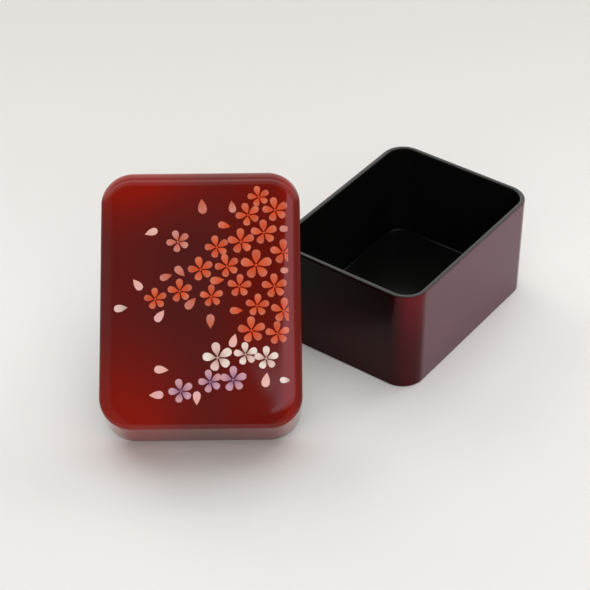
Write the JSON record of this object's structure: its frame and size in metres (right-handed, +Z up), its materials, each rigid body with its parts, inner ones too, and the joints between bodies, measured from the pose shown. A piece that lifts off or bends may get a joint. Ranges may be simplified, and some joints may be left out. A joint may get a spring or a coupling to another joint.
{
  "type": "lacquer accessory case",
  "caption": "Small open lacquer box with rounded corners, and its deep overlapping lid taken off and leaning on the rim.",
  "frame": {"origin": "centre of the box's underside, on the surface it stands on", "axes": "+Z up, +X along the box's short side, +Y along its long side, away from the leaning lid"},
  "size_m": [0.1353, 0.2119, 0.0902],
  "materials": {
    "wine_lacquer": "polished dark wine lacquer on a thin wooden wall",
    "black_lacquer": "polished black lacquer on wood",
    "red_lacquer": "polished lacquer shaded from bright red at two corners to dark wine"
  },
  "bodies": {
    "box": {"box_wall": "wine_lacquer", "box_base": "black_lacquer"},
    "lid": {"lid_skirt": "red_lacquer", "lid_top": "red_lacquer"}
  },
  "joints": [
    {"name": "lid_lift", "type": "slide", "parent": "box", "child": "lid", "axis": [0, 0, 1], "range_m": [0, 0.06]}
  ]
}
